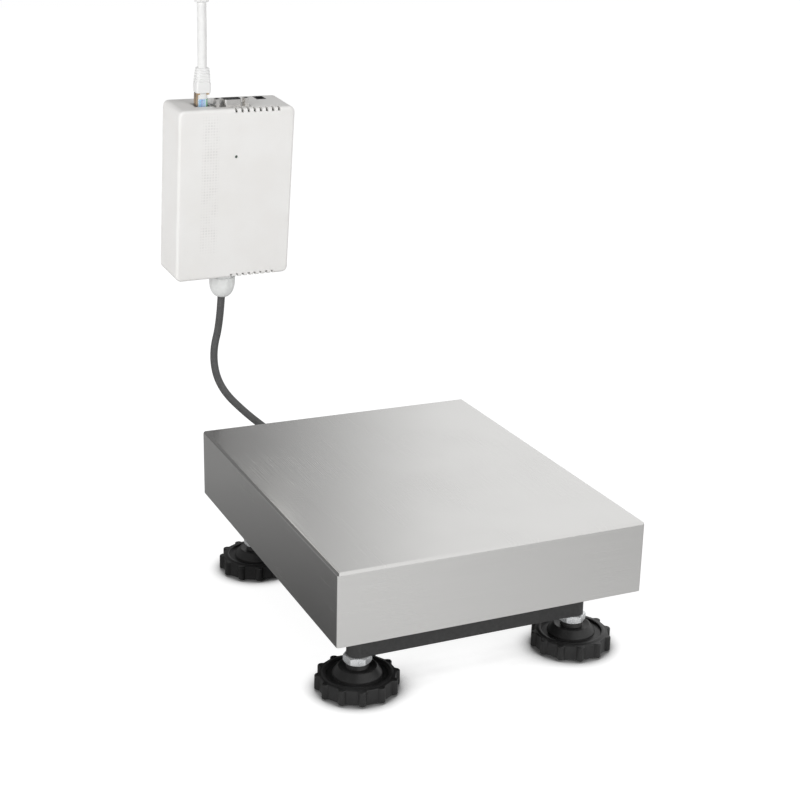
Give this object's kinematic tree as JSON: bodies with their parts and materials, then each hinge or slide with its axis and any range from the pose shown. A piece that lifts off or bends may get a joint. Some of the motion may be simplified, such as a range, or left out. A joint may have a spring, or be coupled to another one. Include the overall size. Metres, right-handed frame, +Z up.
{
  "type": "bench platform scale with interface box",
  "caption": "Bench platform scale: steel weighing tray on a single-point load cell, dark cast base with screw levelling feet, and a small interface box on its cable.",
  "frame": {"origin": "centre of the weighing plate's top face, in which weights are placed; the ground is 112 mm below it", "axes": "+X to the right along the plate's 240 mm side, +Y to the back along its 300 mm side and towards the interface box, +Z up"},
  "size_m": [0.248, 0.3947, 0.4962],
  "materials": {
    "plate_steel": "brushed stainless sheet, corner seams welded and ground flush",
    "buffer_rubber": "matt moulded rubber",
    "carrier_paint": "satin dark grey powder coat",
    "cell_aluminium": "milled, anodised clear",
    "cell_plates": "ground flat spacer",
    "zinc_screws": "bright zinc plate",
    "cast_paint": "satin dark grey paint on a casting",
    "beam_paint": "satin dark grey powder coat",
    "nut_zinc": "bright zinc plate",
    "stud_zinc": "bright zinc plate, rolled thread",
    "foot_plastic": "matt black moulded nylon",
    "sole_rubber": "matt rubber",
    "level_body": "moulded plastic",
    "level_liquid": "clear, filled with green liquid",
    "black_gland": "moulded nylon",
    "dark_cable": "dark grey PVC jacket",
    "box_plastic": "off-white moulded plastic with fine texture",
    "board_green": "solder mask",
    "jack_shield": "tin-plated shield",
    "connector_plate": "nickel-plated steel",
    "black_insulator": "moulded insulator",
    "light_lens": "smoked light pipe",
    "white_gland": "moulded nylon",
    "clear_plug": "clear polycarbonate",
    "white_boot": "soft moulded plastic",
    "white_cable": "soft PVC jacket"
  },
  "bodies": {
    "base": {"load_cell": "cell_aluminium", "cell_spacer_bottom": "cell_plates", "cell_screws_bottom": "zinc_screws", "front_crossbar": "cast_paint", "rear_crossbar": "cast_paint", "base_beam": "beam_paint", "beam_screws": "zinc_screws", "overload_stops": "zinc_screws", "overload_nuts": "zinc_screws", "level_cup": "level_body", "level_glass": "level_liquid", "lock_nuts": "nut_zinc", "base_gland_body": "black_gland", "base_gland_cap": "black_gland", "platform_cable": "dark_cable", "cell_lead": "dark_cable", "box_front": "box_plastic", "box_back": "box_plastic", "case_screws": "zinc_screws", "circuit_board": "board_green", "network_jack": "jack_shield", "serial_shell": "connector_plate", "serial_insert": "black_insulator", "serial_standoffs": "connector_plate", "power_jack": "black_insulator", "status_light": "light_lens", "box_gland_body": "white_gland", "box_gland_cap": "white_gland", "box_gland_nut": "white_gland", "network_plug": "clear_plug", "network_boot": "white_boot", "network_cable": "white_cable", "far_plug": "clear_plug", "far_boot": "white_boot"},
    "load_receiver": {"carrier_beam": "carrier_paint", "carrier_arm_front": "carrier_paint", "carrier_arm_rear": "carrier_paint", "carrier_screws": "zinc_screws", "cell_spacer_top": "cell_plates", "cell_screws_top": "zinc_screws", "plate_buffers": "buffer_rubber"},
    "weighing_plate": {"weighing_plate": "plate_steel"},
    "foot_front_left_sole": {"foot_front_left_pad": "sole_rubber"},
    "foot_front_left_screw": {"foot_front_left_wheel": "foot_plastic", "foot_front_left_stud": "stud_zinc"},
    "foot_front_right_sole": {"foot_front_right_pad": "sole_rubber"},
    "foot_front_right_screw": {"foot_front_right_wheel": "foot_plastic", "foot_front_right_stud": "stud_zinc"},
    "foot_rear_left_sole": {"foot_rear_left_pad": "sole_rubber"},
    "foot_rear_left_screw": {"foot_rear_left_wheel": "foot_plastic", "foot_rear_left_stud": "stud_zinc"},
    "foot_rear_right_sole": {"foot_rear_right_pad": "sole_rubber"},
    "foot_rear_right_screw": {"foot_rear_right_wheel": "foot_plastic", "foot_rear_right_stud": "stud_zinc"}
  },
  "joints": [
    {"name": "load_deflection", "type": "slide", "parent": "base", "child": "load_receiver", "axis": [0, 0, 1], "range_m": [-0.0004, 0], "stiffness_N_per_m": 370000, "springref_m": 0.00006, "deforming": ["load_cell"]},
    {"name": "plate_lift", "type": "slide", "parent": "load_receiver", "child": "weighing_plate", "axis": [0, 0, 1], "range_m": [0, 0.12]},
    {"name": "foot_front_left_height", "type": "slide", "parent": "base", "child": "foot_front_left_sole", "axis": [0, 0, 1], "range_m": [-0.0123, 0]},
    {"name": "foot_front_left_turn", "type": "hinge", "parent": "foot_front_left_sole", "child": "foot_front_left_screw", "pos_m": [-0.0877, -0.1095, -0.1], "axis": [0, 0, 1], "range_deg": [-2520, 0]},
    {"name": "foot_front_right_height", "type": "slide", "parent": "base", "child": "foot_front_right_sole", "axis": [0, 0, 1], "range_m": [-0.0123, 0]},
    {"name": "foot_front_right_turn", "type": "hinge", "parent": "foot_front_right_sole", "child": "foot_front_right_screw", "pos_m": [0.0877, -0.1095, -0.1], "axis": [0, 0, 1], "range_deg": [-2520, 0]},
    {"name": "foot_rear_left_height", "type": "slide", "parent": "base", "child": "foot_rear_left_sole", "axis": [0, 0, 1], "range_m": [-0.0123, 0]},
    {"name": "foot_rear_left_turn", "type": "hinge", "parent": "foot_rear_left_sole", "child": "foot_rear_left_screw", "pos_m": [-0.0877, 0.1095, -0.1], "axis": [0, 0, 1], "range_deg": [-2520, 0]},
    {"name": "foot_rear_right_height", "type": "slide", "parent": "base", "child": "foot_rear_right_sole", "axis": [0, 0, 1], "range_m": [-0.0123, 0]},
    {"name": "foot_rear_right_turn", "type": "hinge", "parent": "foot_rear_right_sole", "child": "foot_rear_right_screw", "pos_m": [0.0877, 0.1095, -0.1], "axis": [0, 0, 1], "range_deg": [-2520, 0]}
  ],
  "couplings": [
    {"joint": "foot_front_left_height", "follows": "foot_front_left_turn", "m_per_rad": 0.00027852},
    {"joint": "foot_front_right_height", "follows": "foot_front_right_turn", "m_per_rad": 0.00027852},
    {"joint": "foot_rear_left_height", "follows": "foot_rear_left_turn", "m_per_rad": 0.00027852},
    {"joint": "foot_rear_right_height", "follows": "foot_rear_right_turn", "m_per_rad": 0.00027852}
  ]
}
